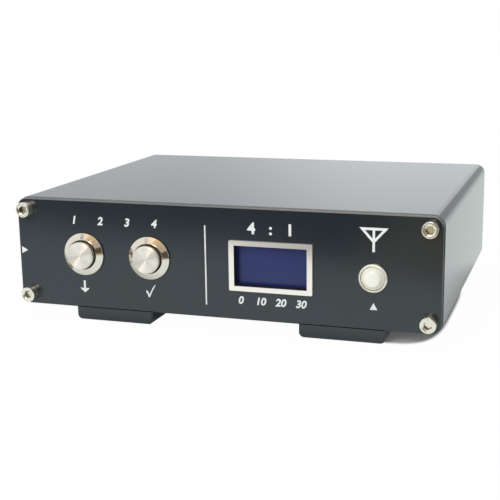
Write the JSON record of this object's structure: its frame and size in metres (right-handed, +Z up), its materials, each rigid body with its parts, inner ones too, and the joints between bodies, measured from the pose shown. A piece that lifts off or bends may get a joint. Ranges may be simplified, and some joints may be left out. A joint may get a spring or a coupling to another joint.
{
  "type": "coaxial antenna switch",
  "caption": "Flat black aluminium box with push buttons, a small display and an indicator on the front, coaxial sockets and a supply inlet on the rear, on foot rails.",
  "frame": {"origin": "middle of the whole object's footprint, on the surface that the foot rails stand on", "axes": "+X to the right of the front panel as its user sees it, +Y from the front panel to the rear panel, +Z up"},
  "size_m": [0.1404, 0.1266, 0.0402],
  "materials": {
    "black_anodised": "satin black anodised",
    "stainless_steel": "turned, bright",
    "button_metal": "turned stainless steel, satin",
    "plated_brass": "nickel plated",
    "spring_steel": "drawn wire",
    "black_plastic": "moulded",
    "rubber": "moulded",
    "contact_metal": "silver plated",
    "flat_cable": "extruded flat cable",
    "bezel_metal": "satin, machined",
    "display_glass": "gloss, dark blue",
    "circuit_board": "solder mask",
    "indicator_ring": "plated",
    "white_lens": "moulded, translucent",
    "clear_resin": "cast",
    "insulator": "turned fluoropolymer",
    "tinned_copper": "drawn, tinned",
    "relay_case": "moulded",
    "capacitor_can": "sleeved"
  },
  "bodies": {
    "case": {"antenna_relays": "relay_case", "antenna_socket_1_contact": "contact_metal", "antenna_socket_1_shell": "plated_brass", "antenna_socket_2_contact": "contact_metal", "antenna_socket_2_shell": "plated_brass", "antenna_socket_3_contact": "contact_metal", "antenna_socket_3_shell": "plated_brass", "antenna_socket_4_contact": "contact_metal", "antenna_socket_4_shell": "plated_brass", "body_shell": "black_anodised", "button_leads": "flat_cable", "button_terminals": "contact_metal", "confirm_button_bushing": "button_metal", "confirm_button_nut": "plated_brass", "confirm_button_seal": "rubber", "confirm_button_spring": "spring_steel", "confirm_button_switch_block": "black_plastic", "controller_chip": "black_plastic", "display_bezel": "bezel_metal", "display_board": "circuit_board", "display_cable": "flat_cable", "display_glass": "display_glass", "display_header": "black_plastic", "display_screws": "stainless_steel", "display_spacers": "stainless_steel", "foot_rail_left": "black_anodised", "foot_rail_right": "black_anodised", "foot_rail_screws": "stainless_steel", "front_panel": "black_anodised", "front_panel_screws": "stainless_steel", "indicator_diode": "clear_resin", "indicator_holder": "indicator_ring", "indicator_lead": "flat_cable", "indicator_lens": "white_lens", "indicator_nut": "indicator_ring", "inlet_housing": "black_plastic", "inlet_lead": "flat_cable", "inlet_nut": "plated_brass", "inlet_pin": "contact_metal", "main_board": "circuit_board", "radio_links": "tinned_copper", "radio_socket_contact": "contact_metal", "radio_socket_shell": "plated_brass", "rear_panel": "black_anodised", "rear_panel_screws": "stainless_steel", "select_button_bushing": "button_metal", "select_button_nut": "plated_brass", "select_button_seal": "rubber", "select_button_spring": "spring_steel", "select_button_switch_block": "black_plastic", "smoothing_capacitor": "capacitor_can", "socket_insulators": "insulator", "socket_nuts": "plated_brass", "socket_washers": "plated_brass"},
    "select_button": {"select_button_cap": "button_metal"},
    "confirm_button": {"confirm_button_cap": "button_metal"}
  },
  "joints": [
    {"name": "select_press", "type": "slide", "parent": "case", "child": "select_button", "axis": [0, 1, 0], "range_m": [0, 0.0015], "stiffness_N_per_m": 1500, "deforming": ["select_button_spring"]},
    {"name": "confirm_press", "type": "slide", "parent": "case", "child": "confirm_button", "axis": [0, 1, 0], "range_m": [0, 0.0015], "stiffness_N_per_m": 1500, "deforming": ["confirm_button_spring"]}
  ]
}
